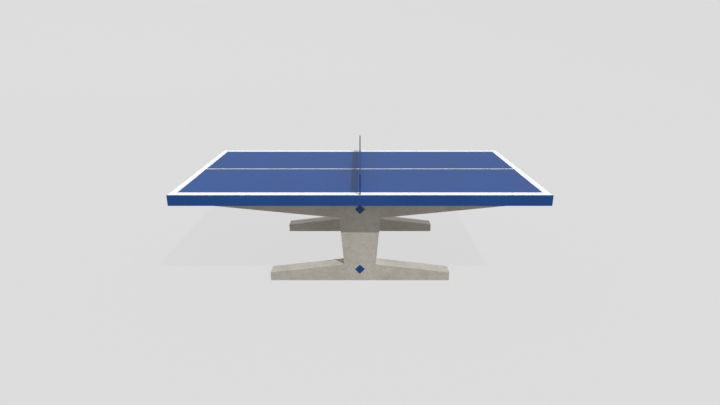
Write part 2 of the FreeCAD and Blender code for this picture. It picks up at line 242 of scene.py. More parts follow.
def concrete_material():
    """Fair-faced grey concrete: cloudy tone, casting lifts, sandy grain and small air holes, with painted
    shade in the holes.
    """
    material, tree, shader, place = start_material("concrete")
    wide = clouds(tree, place, 3.2, 5.0, 0.6)
    mottle = clouds(tree, place, 17.0, 7.0, 0.62)
    lifts = clouds(tree, stretched(tree, place, (3.0, 3.0, 42.0)), 1.0, 5.0, 0.6)
    skin = clouds(tree, stretched(tree, place, (85.0, 85.0, 190.0)), 1.0, 5.0, 0.65)
    sand = clouds(tree, place, 520.0, 3.0, 0.7)
    holes = pores(tree, place, 58.0, 0.13, 0.16)
    pinholes = pores(tree, place, 190.0, 0.2, 0.12)
    tone = spread(tree, wide, 0.34, 0.68)
    colour = blend_colours(tree, tone, (0.449, 0.426, 0.371), (0.568, 0.542, 0.484))
    patch = spread(tree, mottle, 0.38, 0.66)
    colour = blend_colours(tree, maths(tree, "MULTIPLY", patch, 0.45), colour, (0.652, 0.630, 0.571))
    streak = spread(tree, lifts, 0.52, 0.72, 0.0, 0.22)
    colour = blend_colours(tree, streak, colour, (0.359, 0.344, 0.309))
    colour = blend_colours(tree, spread(tree, skin, 0.46, 0.62, 0.0, 0.34), colour, (0.320, 0.302, 0.266))
    colour = blend_colours(tree, spread(tree, skin, 0.45, 0.32, 0.0, 0.34), colour, (0.745, 0.724, 0.665))
    colour = blend_colours(tree, spread(tree, sand, 0.35, 0.75, 0.0, 0.18), colour, (0.299, 0.280, 0.245))
    wear = maths(tree, "MULTIPLY", wear_of(tree), spread(tree, mottle, 0.4, 0.6, 0.04, 0.2))
    colour = blend_colours(tree, wear, colour, (0.718, 0.694, 0.642))
    # painted shade: the air holes and pinholes are darkened as if shaded inside; their depth is also in the
    # bump below
    colour = blend_colours(tree, maths(tree, "MULTIPLY", holes, 0.6), colour, (0.156, 0.146, 0.129))
    colour = blend_colours(tree, maths(tree, "MULTIPLY", pinholes, 0.45), colour, (0.192, 0.181, 0.163))
    rough = spread(tree, mottle, 0.3, 0.7, 0.8, 0.94)
    set_shader(tree, shader, Base_Color=colour, Roughness=rough, Specular_IOR_Level=0.35)
    depth = maths(tree, "SUBTRACT", 1.0, maths(tree, "MAXIMUM", holes, pinholes))
    grain = ((mottle, 1.2 * MM, 0.25), (skin, 0.4 * MM, 0.3), (sand, 0.35 * MM, 0.35))
    raise_surface(tree, shader, (*grain, (depth, 1.2 * MM, 0.7)))
    return material


def coating_material(name, light, dark, scuff):
    """Smooth resin coating with a faint orange peel, slight tone changes and fine scuffs."""
    material, tree, shader, place = start_material(name)
    wide = clouds(tree, place, 1.9, 4.0, 0.55)
    peel = clouds(tree, place, 340.0, 2.0, 0.4)
    swirl = clouds(tree, stretched(tree, place, (9.0, 46.0, 9.0)), 1.0, 6.0, 0.7)
    speck = clouds(tree, place, 900.0, 2.0, 0.5)
    colour = blend_colours(tree, spread(tree, wide, 0.36, 0.64), dark, light)
    marks = maths(tree, "MULTIPLY", spread(tree, swirl, 0.6, 0.74), spread(tree, wide, 0.42, 0.6))
    colour = blend_colours(tree, maths(tree, "MULTIPLY", marks, 0.10), colour, scuff)
    colour = blend_colours(tree, spread(tree, speck, 0.68, 0.8, 0.0, 0.10), colour, scuff)
    rough = maths(tree, "ADD", spread(tree, wide, 0.3, 0.7, 0.33, 0.40), maths(tree, "MULTIPLY", marks, 0.15))
    set_shader(tree, shader, Base_Color=colour, Roughness=rough, Specular_IOR_Level=0.5)
    raise_surface(tree, shader, ((wide, 2.0 * MM, 0.1), (peel, 0.08 * MM, 0.25)))
    return material


def powder_coat_material():
    """Blue powder coat on steel, worn to the metal in small spots along its edges."""
    material, tree, shader, place = start_material("blue_powder_coat")
    wide = clouds(tree, place, 7.0, 4.0, 0.55)
    peel = clouds(tree, place, 700.0, 2.0, 0.5)
    chips = clouds(tree, place, 160.0, 4.0, 0.6)
    colour = blend_colours(tree, spread(tree, wide, 0.35, 0.65), (0.011, 0.039, 0.145), (0.015, 0.050, 0.178))
    edge = wear_of(tree)
    colour = blend_colours(tree, maths(tree, "MULTIPLY", edge, 0.10), colour, (0.04, 0.09, 0.26))
    bare = maths(tree, "MULTIPLY", edge, spread(tree, chips, 0.69, 0.73))
    colour = blend_colours(tree, bare, colour, (0.20, 0.20, 0.21))
    rough = spread(tree, wide, 0.3, 0.7, 0.42, 0.50)
    set_shader(tree, shader, Base_Color=colour, Roughness=rough, Specular_IOR_Level=0.3)
    raise_surface(tree, shader, ((peel, 0.10 * MM, 0.35), (bare, -0.12 * MM, 0.6)))
    return material


def cap_material():
    """Moulded blue plastic with a fine matt grain."""
    material, tree, shader, place = start_material("moulded_cap")
    wide = clouds(tree, place, 30.0, 3.0, 0.5)
    grain = clouds(tree, place, 1500.0, 2.0, 0.5)
    colour = blend_colours(tree, spread(tree, wide, 0.35, 0.65), (0.009, 0.048, 0.19), (0.012, 0.058, 0.225))
    edge = maths(tree, "MULTIPLY", wear_of(tree), 0.2)
    colour = blend_colours(tree, edge, colour, (0.08, 0.15, 0.34))
    set_shader(tree, shader, Base_Color=colour, Roughness=spread(tree, wide, 0.3, 0.7, 0.4, 0.5))
    raise_surface(tree, shader, ((grain, 0.05 * MM, 0.4),))
    return material


def zinc_material():
    """Hot-dip galvanised steel: large crystals in slightly different greys."""
    material, tree, shader, place = start_material("zinc_steel")
    crystals = add(tree, "ShaderNodeTexVoronoi", {"Vector": place, "Scale": 170.0})
    crystal = add(tree, "ShaderNodeSeparateColor", {0: crystals.outputs["Color"]}).outputs[0]
    film = clouds(tree, place, 45.0, 5.0, 0.6)
    colour = blend_colours(tree, crystal, (0.46, 0.47, 0.48), (0.64, 0.65, 0.66))
    colour = blend_colours(tree, spread(tree, film, 0.5, 0.8, 0.0, 0.4), colour, (0.36, 0.36, 0.35))
    rough = maths(tree, "ADD", spread(tree, film, 0.3, 0.7, 0.36, 0.5), maths(tree, "MULTIPLY", crystal, 0.1))
    set_shader(tree, shader, Base_Color=colour, Roughness=rough, Metallic=0.9)
    raise_surface(tree, shader, ((film, 0.15 * MM, 0.3),))
    return material


def bar_material():
    """Reinforcing bar with mill scale and a thin film of rust."""
    material, tree, shader, place = start_material("bar_steel")
    rust = clouds(tree, place, 60.0, 6.0, 0.65)
    fine = clouds(tree, place, 600.0, 3.0, 0.6)
    colour = blend_colours(tree, spread(tree, rust, 0.4, 0.62), (0.07, 0.06, 0.055), (0.22, 0.10, 0.05))
    rough = spread(tree, rust, 0.4, 0.6, 0.5, 0.85)
    set_shader(tree, shader, Base_Color=colour, Roughness=rough, Metallic=0.5)
    raise_surface(tree, shader, ((fine, 0.2 * MM, 0.5),))
    return material


def rubber_material():
    """Black rubber with a dusty bloom."""
    material, tree, shader, place = start_material("pad_rubber")
    dust = clouds(tree, place, 70.0, 5.0, 0.6)
    fine = clouds(tree, place, 900.0, 2.0, 0.5)
    colour = blend_colours(tree, spread(tree, dust, 0.4, 0.75), (0.018, 0.018, 0.018), (0.06, 0.058, 0.052))
    set_shader(tree, shader, Base_Color=colour, Roughness=spread(tree, dust, 0.3, 0.7, 0.65, 0.85))
    raise_surface(tree, shader, ((fine, 0.1 * MM, 0.4),))
    return material


CONCRETE = concrete_material()
BLUE = coating_material("blue_coating", (0.0065, 0.066, 0.274), (0.0055, 0.058, 0.246), (0.11, 0.16, 0.34))
WHITE = coating_material("white_coating", (0.915, 0.935, 0.94), (0.885, 0.91, 0.915), (0.62, 0.62, 0.60))
POWDER = powder_coat_material()
CAP = cap_material()
ZINC = zinc_material()
BAR = bar_material()
RUBBER = rubber_material()

SLOT_MATERIALS = {
    "concrete": CONCRETE,
    "blue_coating": BLUE,
    "white_coating": WHITE,
    "blue_steel": POWDER,
    "cap_plastic": CAP,
    "zinc_steel": ZINC,
    "bar_steel": BAR,
    "pad_rubber": RUBBER,
}
SLOT_OF = {row["node"]: row["material_slot"] for row in frame["record"]["subparts"]}


def dress_nodes():
    """Gives every CAD node the material of its slot."""
    for node, slot in SLOT_OF.items():
        mesh = NODES[node].data
        mesh.materials.clear()
        mesh.materials.append(SLOT_MATERIALS[slot])


# Outlines: closed lists of flat points that run anticlockwise

def area_of(points):
    pairs = zip(points, points[1:] + points[:1])
    return sum(a[0] * b[1] - b[0] * a[1] for a, b in pairs) / 2


def inset(points, distance):
    """The outline moved inwards, or outwards if distance is negative."""
    moved = []
    count = len(points)
    for i, point in enumerate(points):
        here = Vector(point)
        before = (here - Vector(points[i - 1])).normalized()
        after = (Vector(points[(i + 1) % count]) - here).normalized()
        normal = Vector((-before.y - after.y, before.x + after.x)).normalized()
        across = max(0.3, normal.dot(Vector((-before.y, before.x))))
        moved.append(tuple(here + normal * (distance / across)))
    return moved


def rounded(points, outer, inner=0.0, steps=4):
    """The outline with arcs at its corners.

    outer is the radius at convex corners, or a list with one for each corner, and inner is
    the radius at the others.
    """
    result = []
    count = len(points)
    radii = outer if isinstance(outer, list) else [outer] * count
    for i, point in enumerate(points):
        here = Vector(point)
        back = Vector(points[i - 1]) - here
        ahead = Vector(points[(i + 1) % count]) - here
        turn = back.normalized().angle(ahead.normalized())
        convex = back.x * ahead.y - back.y * ahead.x < 0
        radius = radii[i] if convex else inner
        if radius == 0:
            result.append(tuple(here))
            continue
        reach = min(radius / math.tan(turn / 2), back.length * 0.45, ahead.length * 0.45)
        radius = reach * math.tan(turn / 2)
        start = here + back.normalized() * reach
        end = here + ahead.normalized() * reach
        middle = here + (back.normalized() + ahead.normalized()).normalized() * (radius / math.sin(turn / 2))
        first, last = (start - middle).normalized(), (end - middle).normalized()
        for k in range(steps + 1):
            result.append(tuple(middle + radius * first.slerp(last, k / steps)))
    return result


def shrunk(corners, radii, distance, inner=0.0):
    """The rounded outline moved inwards, with sharper arcs but as many points."""
    left = [max(radius - distance, SHARPEST) for radius in radii]
    return rounded(inset(corners, distance), left, inner + distance if inner else 0.0)


def resampled(points, step, like=None):
    """The outline with its long runs divided into steps of about the given length.

    Runs are divided into as many parts as those of the outline like, if it is given.
    """
    result = []
    for i, start in enumerate(points):
        run = Vector(points[(i + 1) % len(points)]) - Vector(start)
        model = like or points
        parts = max(1, round(math.dist(model[i], model[(i + 1) % len(points)]) / step))
        result += [tuple(Vector(start) + run * (k / parts)) for k in range(parts)]
    return result


def circle(u, v, radius, segments=32):
    angles = [2 * math.pi * i / segments for i in range(segments)]
    return [(u + radius * math.cos(a), v + radius * math.sin(a)) for a in angles]


def square_on_corner(half, u, v):
    """Square whose corners lie half its diagonal from (u, v)."""
    return [(u + half, v), (u, v + half), (u - half, v), (u, v - half)]


def rectangle(low, high):
    return [(low[0], low[1]), (high[0], low[1]), (high[0], high[1]), (low[0], high[1])]


def is_inside(point, outline):
    x, y = point
    inside = False
    for (ax, ay), (bx, by) in zip(outline, outline[1:] + outline[:1]):
        if (ay > y) != (by > y) and x < (bx - ax) * (y - ay) / (by - ay) + ax:
            inside = not inside
    return inside


def gap_to(point, outline):
    """Distance from the point to the nearest side of the outline."""
    nearest = math.inf
    here = Vector(point)
    for a, b in zip(outline, outline[1:] + outline[:1]):
        start, run = Vector(a), Vector(b) - Vector(a)
        share = min(1.0, max(0.0, (here - start).dot(run) / run.length_squared))
        nearest = min(nearest, (start + run * share - here).length)
    return nearest


def grid_inside(outline, step):
    """Points in staggered rows, step apart, that keep clear of the outline."""
    low_u, high_u = min(p[0] for p in outline), max(p[0] for p in outline)
    low_v, high_v = min(p[1] for p in outline), max(p[1] for p in outline)
    points = []
    for j in range(math.ceil((high_v - low_v) / step)):
        for i in range(math.ceil((high_u - low_u) / step)):
            point = (low_u + (i + 0.5 * (j % 2)) * step, low_v + (j + 0.5) * step)
            if is_inside(point, outline) and gap_to(point, outline) > step * 0.5:
                points.append(point)
    return points


def fill(outline, holes=(), inner_points=()):
    """Flat triangles inside the outline and outside the holes: (points, triangles)."""
    points = []
    edges = []
    for loop in (outline, *holes):
        first = len(points)
        points += [Vector(p) for p in loop]
        edges += [(first + i, first + (i + 1) % len(loop)) for i in range(len(loop))]
    points += [Vector(p) for p in inner_points]
    inside_only, nearness = 1, 1e-7
    made = delaunay_2d_cdt(points, edges, [], inside_only, nearness)
    flat = [tuple(p) for p in made[0]]
    triangles = []
    for face in made[2]:
        middle = [sum(flat[i][k] for i in face) / len(face) for k in range(2)]
        if not any(is_inside(middle, hole) for hole in holes):
            triangles.append(list(face))
    return flat, triangles


def on_xy(u, v, w):
    return Vector((u, v, w))


def on_xz(u, v, w):
    return Vector((u, w, v))


def on_yz(u, v, w):
    return Vector((w, u, v))


# Meshes

class Solid:
    """Vertices, faces and wear that grow into one mesh."""

    def __init__(self):
        self.verts = []
        self.faces = []
        self.wear = []

    def extend(self, verts, faces, wear=None):
        first = len(self.verts)
        self.verts += verts
        self.faces += [[first + i for i in face] for face in faces]
        self.wear += wear or [0.0] * len(verts)

    def join_rings(self, rings, wear=None, closed=False):
        """Quads between neighbouring rings of equal length; closed joins the last to the first."""
        size = len(rings[0])
        verts = [point for ring in rings for point in ring]
        share = [w for w in wear or [0.0] * len(rings) for _ in range(size)]
        faces = []
        for k in range(len(rings) if closed else len(rings) - 1):
            low = k * size
            high = (k + 1) % len(rings) * size
            for i in range(size):
                j = (i + 1) % size
                faces.append([low + i, low + j, high + j, high + i])
        self.extend(verts, faces, share)

    def revolve(self, profile, segments, origin, axis, closed=False):
        """Surface of revolution of (radius, height) points about axis; radius 0 is a pole."""
        turn = axis.to_track_quat("Z", "Y").to_matrix()
        rows = []
        verts = []
        for radius, height in profile:
            count = segments if radius > 0 else 1
            rows.append([len(verts) + i for i in range(count)])
            for u, v in circle(0, 0, radius, count):
                verts.append(origin + turn @ Vector((u, v, height)))
        faces = []
        for low, high in zip(rows, rows[1:] + (rows[:1] if closed else [])):
            for i in range(segments):
                j = (i + 1) % segments
                corners = (low[i % len(low)], low[j % len(low)], high[j % len(high)], high[i % len(high)])
                face = list(dict.fromkeys(corners))
                if len(face) > 2:
                    faces.append(face)
        self.extend(verts, faces)

    def plate(self, corners, radii, low, high, place, holes=()):
        """Flat plate from w = low to w = high with softened rims.

        radii has one value for each corner, place turns (u, v, w) into a point, and holes
        are more outlines, cut straight through.
        """
        rings = []
        for face, sign in ((low, 1), (high, -1)):
            half = []
            for k in range(RIM_STEPS + 1):
                angle = math.pi / 2 * k / RIM_STEPS
                loop = shrunk(corners, radii, PLATE_EDGE * (1 - math.sin(angle)))
                depth = sign * PLATE_EDGE * (1 - math.cos(angle))
                half.append([place(u, v, face + depth) for u, v in loop])
            rings += half if sign > 0 else half[::-1]
        self.join_rings(rings, [1.0] * len(rings))
        border = shrunk(corners, radii, PLATE_EDGE)
        middle = shrunk(corners, radii, PLATE_EDGE + WEAR_WIDTH)
        for w in (low, high):
            self.join_rings([[place(u, v, w) for u, v in loop] for loop in (border, middle)], [1.0, 0.0])
            points, triangles = fill(middle, holes)
            self.extend([place(u, v, w) for u, v in points], triangles)
        for hole in holes:
            self.join_rings([[place(u, v, w) for u, v in hole] for w in (low, high)])

    def mesh(self, name):
        """One clean mesh with its faces outward and its wear on the vertices."""
        mesh = bpy.data.meshes.new(name)
        mesh.from_pydata(self.verts, [], self.faces)
        mesh.attributes.new("wear", "FLOAT", "POINT").data.foreach_set("value", self.wear)
        build = bmesh.new()
        build.from_mesh(mesh)
        bmesh.ops.remove_doubles(build, verts=build.verts, dist=MERGE_DISTANCE)
        bmesh.ops.dissolve_degenerate(build, edges=build.edges, dist=SHORTEST_EDGE)
        bmesh.ops.recalc_face_normals(build, faces=build.faces)
        build.to_mesh(mesh)
        build.free()
        return mesh


def shown_object(mesh, sharp_angle):
    """Puts a mesh in the scene, shaded smooth up to an angle in degrees."""
    mesh.shade_smooth()
    mesh.set_sharp_from_angle(angle=math.radians(sharp_angle))
    made = bpy.data.objects.new(mesh.name, mesh)
    bpy.context.scene.collection.objects.link(made)
    return made


def put_for(node, mesh, sharp_angle=32.0):
    """Shows the mesh in place of a CAD node, in the material of the node's slot."""
    slot = SLOT_OF[node]
    mesh.materials.clear()
    mesh.materials.append(SLOT_MATERIALS[slot])
    made = shown_object(mesh, sharp_angle)
    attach(made, "root")
    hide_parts(node)
    return made


def cut_mesh(mesh, cutter_mesh):
    """The mesh with the cutter's shape taken out of it."""
    whole = bpy.data.objects.new("whole", mesh)
    cutter = bpy.data.objects.new("cutter", cutter_mesh)
    for made in (whole, cutter):
        bpy.context.scene.collection.objects.link(made)
    change = whole.modifiers.new("cut", "BOOLEAN")
    change.operation = "DIFFERENCE"
    change.solver = "EXACT"
    change.object = cutter
    graph = bpy.context.evaluated_depsgraph_get()
    result = bpy.data.meshes.new_from_object(whole.evaluated_get(graph))
    name = mesh.name
    for made in (whole, cutter):
        data = made.data
        bpy.data.objects.remove(made)
        bpy.data.meshes.remove(data)
    result.name = name
    return result


# What the CAD nodes say

def solids_of(node):
    """(lowest corner, highest corner) of each separate solid of a CAD node."""
    mesh = NODES[node].data
    leader = list(range(len(mesh.vertices)))

    def find(i):
        while leader[i] != i:
            i = leader[i]
        return i

    seen = {}
    for vertex in mesh.vertices:
        first = seen.setdefault(tuple(round(c, 6) for c in vertex.co), vertex.index)
        leader[find(vertex.index)] = find(first)
    for edge in mesh.edges:
        leader[find(edge.vertices[0])] = find(edge.vertices[1])
    groups = defaultdict(list)
    for vertex in mesh.vertices:
        groups[find(vertex.index)].append(vertex.co)
    boxes = []
    for corners in groups.values():
        low = Vector(min(c[k] for c in corners) for k in range(3))
        high = Vector(max(c[k] for c in corners) for k in range(3))
        boxes.append((low, high))
    return sorted(boxes, key=lambda box: tuple(round(c, 4) for c in box[0]))


def outline_at(node, y):
    """Corner points (x, z) of a CAD node in the plane Y = y."""
    mesh = NODES[node].data
    keys = {}
    for vertex in mesh.vertices:
        if abs(vertex.co.y - y) < 0.01 * MM:
            keys[vertex.index] = (round(vertex.co.x, 6), round(vertex.co.z, 6))
    beside = defaultdict(set)
    for edge in mesh.edges:
        a, b = (keys.get(i) for i in edge.vertices)
        if a and b and a != b:
            beside[a].add(b)
            beside[b].add(a)
    path = [min(beside)]
    while True:
        ahead = [point for point in beside[path[-1]] if point not in path]
        if not ahead:
            break
        path.append(ahead[0])
    return path if area_of(path) > 0 else path[::-1]


# Concrete leg frames

def frame_holes(side):
    """What is cut out of one frame: its bolt pockets, its tie rod holes and the nuts' pockets."""
    holes = Solid()
    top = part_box("front_leg_frame")[1].z + CUT_SPILL
    for low, high in solids_of("slab_bolt_washers"):
        middle = (low + high) / 2
        if middle.y * side > 0:
            start = high.z - BOLT_POCKET_DEPTH
            profile = ((0, start), (POCKET_RADIUS, start), (POCKET_RADIUS, high.z), (BORE_RADIUS, high.z))
            profile += ((BORE_RADIUS, top), (0, top))
            holes.revolve(profile, HOLE_SEGMENTS, Vector((middle.x, middle.y, 0)), Z_AXIS)
    for low, high in solids_of("tie_washers"):
        middle = (low + high) / 2
        if middle.y * side > 0:
            seat = min(abs(low.y), abs(high.y))
            inner = min(abs(corner.y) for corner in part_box("front_leg_frame")) - CUT_SPILL
            outer = seat + TIE_POCKET_DEPTH + CUT_SPILL
            profile = ((0, inner), (BORE_RADIUS, inner), (BORE_RADIUS, seat), (POCKET_RADIUS, seat))
            profile += ((POCKET_RADIUS, outer), (0, outer))
            holes.revolve(profile, HOLE_SEGMENTS, Vector((middle.x, 0, middle.z)), Y_AXIS * side)
    return holes


def weather(mesh, low, high):
    """Works the slight waves of a cast face, and small chips along the arrises, into the mesh."""
    wear = mesh.attributes["wear"].data
    moves = []
    for vertex in mesh.vertices:
        spot = vertex.co
        wave = noise.noise(spot * 9.0) + 0.5 * noise.noise(spot * 31.0)
        push = SURFACE_WAVE * (wave - 1.0)
        chip = noise.noise(spot * 70.0) + 0.4 * noise.noise(spot * 190.0)
        push -= CHIP_DEPTH * wear[vertex.index].value * max(0.0, chip - 0.5)
        moves.append(spot + vertex.normal * push)
    for vertex, spot in zip(mesh.vertices, moves):
        vertex.co = [min(high[k], max(low[k], spot[k])) for k in range(3)]


def leg_frame(node, side):
    """Frame cast in one piece: rounded, slightly chipped arrises and faintly uneven faces."""
    low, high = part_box(node)
    levels = sorted({round(vertex.co.y, 5) for vertex in NODES[node].data.vertices})
    corners = outline_at(node, levels[1])
    outline = rounded(corners, OUTER_CORNER, INNER_CORNER)
    radii = [OUTER_CORNER] * len(corners)
    arris = []
    for k in range(RIM_STEPS + 1):
        angle = math.pi / 2 * k / RIM_STEPS
        arris.append((ARRIS * (1 - math.sin(angle)), ARRIS * (1 - math.cos(angle))))
    thickness = high.y - low.y
    rows = [(ARRIS + WEAR_WIDTH, 0.0, 0.0)]
    rows += [(shrink, depth, 1.0) for shrink, depth in arris]
    flat = thickness - 2 * (ARRIS + WEAR_WIDTH)
    rows += [(0.0, ARRIS + WEAR_WIDTH + flat * k / SIDE_ROWS, 0.0) for k in range(SIDE_ROWS + 1)]
    rows += [(shrink, thickness - depth, 1.0) for shrink, depth in reversed(arris)]
    rows += [(ARRIS + WEAR_WIDTH, thickness, 0.0)]
    rings = []
    for shrink, depth, _ in rows:
        loop = resampled(shrunk(corners, radii, shrink, INNER_CORNER), OUTLINE_STEP, outline)
        rings.append([on_xz(x, z, low.y + depth) for x, z in loop])
    solid = Solid()
    solid.join_rings(rings, [wear for _, _, wear in rows])
    face = [(point.x, point.z) for point in rings[0]]
    points, triangles = fill(face, (), grid_inside(inset(corners, ARRIS + WEAR_WIDTH), FACE_STEP))
    for y in (low.y, high.y):
        solid.extend([on_xz(x, z, y) for x, z in points], triangles)
    mesh = solid.mesh(node + "_cast")
    weather(mesh, low, high)
    mesh = cut_mesh(mesh, frame_holes(side).mesh("holes"))
    put_for(node, mesh, 40.0)


# Net

def net_plate():
    """Flat steel plate with softened edges and rounded upper corners."""
    low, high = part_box("net_plate")
    corners = rectangle((low.y, low.z), (high.y, high.z))
    radii = [PLATE_EDGE] * 2 + [NET_CORNER] * 2
    solid = Solid()
    solid.plate(corners, radii, low.x, high.x, on_yz)
    put_for("net_plate", solid.mesh("net_plate_rounded"))


def net_legs():
    """Flat legs, each with a weld bead in its inner corner under the plate."""
    solid = Solid()
    for low, high in solids_of("net_legs"):
        corners = rectangle((low.y, low.z), (high.y, high.z))
        solid.plate(corners, [PLATE_EDGE] * 4, low.x, high.x, on_yz)
        inner = min((low.y, high.y), key=abs)
        inward = -1 if inner > 0 else 1
        rings = []
        for i in range(BEAD_RINGS + 1):
            share = i / BEAD_RINGS
            taper = min(1.0, 6 * share, 6 * (1 - share)) ** 0.5
            size = WELD_SIZE * (1 + 0.08 * math.sin(share * 40)) * taper + THINNEST_BEAD
            x = low.x + PLATE_EDGE + (high.x - low.x - 2 * PLATE_EDGE) * share
            ring = [Vector((x, inner - inward * WELD_SINK, high.z + WELD_SINK))]
            for k in range(WELD_STEPS + 1):
                angle = math.pi / 2 * k / WELD_STEPS
                y = inner + inward * size * math.cos(angle)
                ring.append(Vector((x, y, high.z - size * math.sin(angle))))
            rings.append(ring)
        solid.join_rings(rings)
        for ring in (rings[0], rings[-1]):
            solid.extend(ring, [list(range(len(ring)))])
    put_for("net_legs", solid.mesh("net_legs_welded"))


# Nuts, bolts and washers

def hexagon(solid, flats, height, origin, axis, bore=0.0, lower_chamfer=True):
    """Adds a hexagon with the cone-cut corners of a forged nut or bolt head."""
    turn = axis.to_track_quat("Z", "Y").to_matrix()
    count = HEX_SEGMENTS
    crown = flats / 2 * HEX_CROWN
    angles = [2 * math.pi * i / count for i in range(count)]
    reach = [flats / 2 / math.cos((a + math.pi / 6) % (math.pi / 3) - math.pi / 6) for a in angles]
    drop = [max(0.0, r - crown) * HEX_CHAMFER for r in reach]
    start = max(bore, 0.2 * crown)
    rows = [([start] * count, [0.0] * count)]
    if lower_chamfer:
        rows.append(([crown] * count, [0.0] * count))
        rows.append((reach, drop))
    else:
        rows.append((reach, [0.0] * count))
    rows.append((reach, [height - d for d in drop]))
    rows.append(([crown] * count, [height] * count))
    rows.append(([start] * count, [height] * count))
    rings = []
    for radii, levels in rows:
        ring = []
        for a, r, z in zip(angles, radii, levels):
            ring.append(origin + turn @ Vector((r * math.cos(a), r * math.sin(a), z)))
        rings.append(ring)
    solid.join_rings(rings, closed=bore > 0)
    if bore == 0:
        for ring in (rings[0], rings[-1]):
            solid.extend(ring, [list(range(count))])


def washer(solid, outer, inner, height, origin, axis):
    """Adds a flat washer with slightly rounded edges."""
    edge = WASHER_EDGE
    profile = ((inner, edge), (inner + edge, 0), (outer - edge, 0), (outer, edge))
    profile += ((outer, height - edge), (outer - edge, height))
    profile += ((inner + edge, height), (inner, height - edge))
    solid.revolve(profile, ROUND_SEGMENTS, origin, axis, closed=True)


def slab_bolt_washers():
    solid = Solid()
    for low, high in solids_of("slab_bolt_washers"):
        middle = (low + high) / 2
        origin = Vector((middle.x, middle.y, low.z))
        washer(solid, (high.x - low.x) / 2, BORE_RADIUS, high.z - low.z, origin, Z_AXIS)
    put_for("slab_bolt_washers", solid.mesh("slab_bolt_washers_bevelled"))


def slab_bolts():
    """Hexagon bolts: chamfered head, plain shank and a blunt end."""
    solid = Solid()
    washers = solids_of("slab_bolt_washers")
    for (low, high), (washer_low, _) in zip(solids_of("slab_bolts"), washers):
        middle = (low + high) / 2
        head = washer_low.z - low.z
        hexagon(solid, high.y - low.y, head, Vector((middle.x, middle.y, washer_low.z)), -Z_AXIS,
                lower_chamfer=False)
        radius = BORE_RADIUS - BORE_PLAY
        length = high.z - low.z
        profile = ((0, head - OVERLAP), (radius, head - OVERLAP), (radius, length - BOLT_POINT))
        profile += ((radius - BOLT_POINT, length), (0, length))
        solid.revolve(profile, SHANK_SEGMENTS, Vector((middle.x, middle.y, low.z)), Z_AXIS)
    put_for("slab_bolts", solid.mesh("slab_bolts_chamfered"), 25.0)


# Ties between the frames

def weld_round(solid, outline, face, outward, place):
    """Adds a rippled fillet weld round an outline that stands on the plane w = face."""
    path = resampled(outline, WELD_RIPPLE_STEP)
    wide = inset(path, -WELD_SIZE)
    ripple = []
    for i in range(len(path)):
        drift = noise.noise(Vector((i * 0.21, face, 0)))
        ripple.append(1 + 0.10 * math.sin(i * 1.9) + 0.12 * drift)
    rings = [[place(u, v, face - outward * WELD_SINK) for u, v in inset(path, WELD_SINK)]]
    for k in range(WELD_STEPS + 1):
        angle = math.pi / 2 * k / WELD_STEPS
        ring = []
        for near, far, size in zip(path, wide, ripple):
            spot = Vector(near).lerp(Vector(far), math.cos(angle) * size)
            ring.append(place(spot.x, spot.y, face + outward * WELD_SIZE * size * math.sin(angle)))
        rings.append(ring)
    solid.join_rings(rings, closed=True)


def tube_outline(node):
    low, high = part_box(node)
    return square_on_corner((high.x - low.x) / 2, 0.0, (low.z + high.z) / 2)


def tie_tube(node):
    """Square hollow section with rounded corners, standing on one of them."""
    low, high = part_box(node)
    corners = tube_outline(node)
    outer = rounded(corners, TUBE_CORNER)
    inner = rounded(inset(corners, TUBE_WALL), TUBE_CORNER - TUBE_WALL / 2)
    solid = Solid()
    ys = [low.y + (high.y - low.y) * k / TUBE_ROWS for k in range(TUBE_ROWS + 1)]
    for loop in (outer, inner):
        solid.join_rings([[on_xz(u, v, y) for u, v in loop] for y in ys])
    points, triangles = fill(outer, [inner])
    for y in (low.y, high.y):
        solid.extend([on_xz(u, v, y) for u, v in points], triangles)
    put_for(node, solid.mesh(node + "_rounded"))


def tie_end_plates():
    """End plates with softened edges, and the welds that hold the tubes to them."""
    solid = Solid()
    tubes = ("lower_tie_tube", "upper_tie_tube")
    for low, high in solids_of("tie_end_plates"):
        z = (low.z + high.z) / 2
        corners = square_on_corner((high.x - low.x) / 2, 0.0, z)
        bore = circle(0.0, z, BORE_RADIUS)
        solid.plate(corners, [PLATE_CORNER] * 4, low.y, high.y, on_xz, [bore])
        tube = min(tubes, key=lambda n: abs(sum(c.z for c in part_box(n)) / 2 - z))
        face = min((low.y, high.y), key=abs)
        outward = -1 if face > 0 else 1
        weld_round(solid, rounded(tube_outline(tube), TUBE_CORNER), face, outward, on_xz)
    put_for("tie_end_plates", solid.mesh("tie_end_plates_welded"))


def tie_nuts():
    solid = Solid()
    rod_low, rod_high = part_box("lower_tie_rod")
    for low, high in solids_of("tie_nuts"):
        middle = (low + high) / 2
        base = min((low.y, high.y), key=abs)
        outward = Y_AXIS if base > 0 else -Y_AXIS
        flats = min(high.x - low.x, high.z - low.z)
        bore = (rod_high.x - rod_low.x) / 2
        hexagon(solid, flats, high.y - low.y, Vector((middle.x, base, middle.z)), outward, bore)
    put_for("tie_nuts", solid.mesh("tie_nuts_chamfered"), 25.0)


def tie_washers():
    solid = Solid()
    for low, high in solids_of("tie_washers"):
        middle = (low + high) / 2
        origin = Vector((middle.x, low.y, middle.z))
        washer(solid, (high.x - low.x) / 2, BORE_RADIUS, high.y - low.y, origin, Y_AXIS)
    put_for("tie_washers", solid.mesh("tie_washers_bevelled"))


